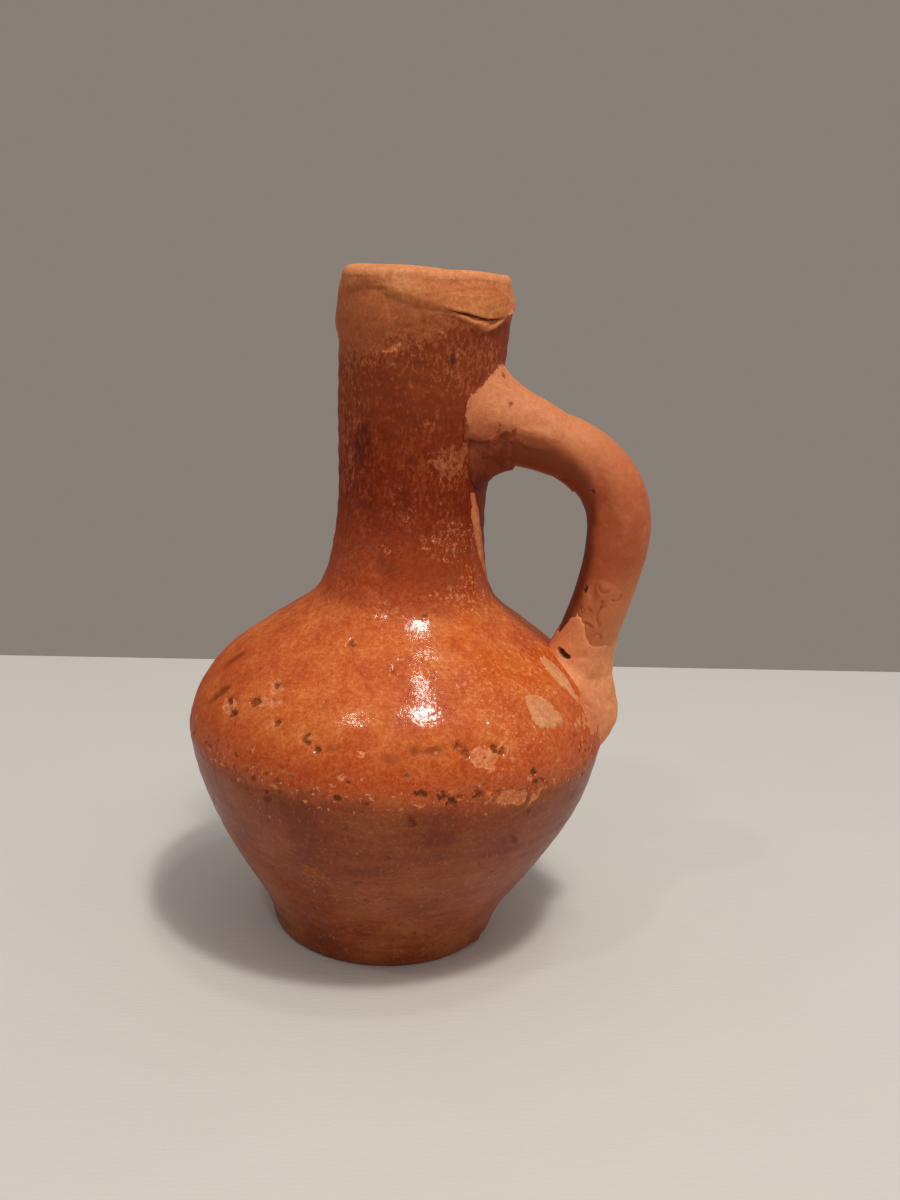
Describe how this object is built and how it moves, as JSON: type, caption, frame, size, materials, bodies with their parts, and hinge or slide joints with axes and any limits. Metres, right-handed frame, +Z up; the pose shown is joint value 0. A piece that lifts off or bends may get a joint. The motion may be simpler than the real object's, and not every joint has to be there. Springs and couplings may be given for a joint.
{
  "type": "handled jug",
  "caption": "Small thrown earthenware jug with a tall neck, a round belly and a roll handle, mended at the rim and at both ends of the handle, for holding and pouring liquids.",
  "frame": {"origin": "middle of the flat foot, on the surface that the jug stands on", "axes": "+Z up along the vessel, +X towards the handle's middle plane"},
  "size_m": [0.0947, 0.088, 0.1432],
  "materials": {
    "honey_glaze": "transparent honey-orange lead glaze over red clay, glossy on the shoulder, pitted along the widest ring, worn and duller on the neck and the foot",
    "rim_clay": "unglazed clay with a dull skin, dragged sideways by a finger",
    "stump_glaze": "dark, sooty old glaze",
    "handle_clay": "unglazed clay, smoothed by wet fingers",
    "collar_clay": "unglazed pale clay, pressed on by hand",
    "pad_clay": "unglazed pale clay, pressed on by hand",
    "neck_smear_clay": "thin dry smear of the mending clay",
    "round_dab_clay": "thin dry dab of the mending clay",
    "long_dab_clay": "thin dry dab of the mending clay"
  },
  "bodies": {
    "root": {"thrown_vessel": "honey_glaze", "rim_band": "rim_clay", "handle_stump": "stump_glaze", "handle_arch": "handle_clay", "upper_luting_collar": "collar_clay", "lower_luting_pad": "pad_clay", "neck_smear": "neck_smear_clay", "shoulder_dab_round": "round_dab_clay", "shoulder_dab_long": "long_dab_clay"}
  },
  "joints": []
}
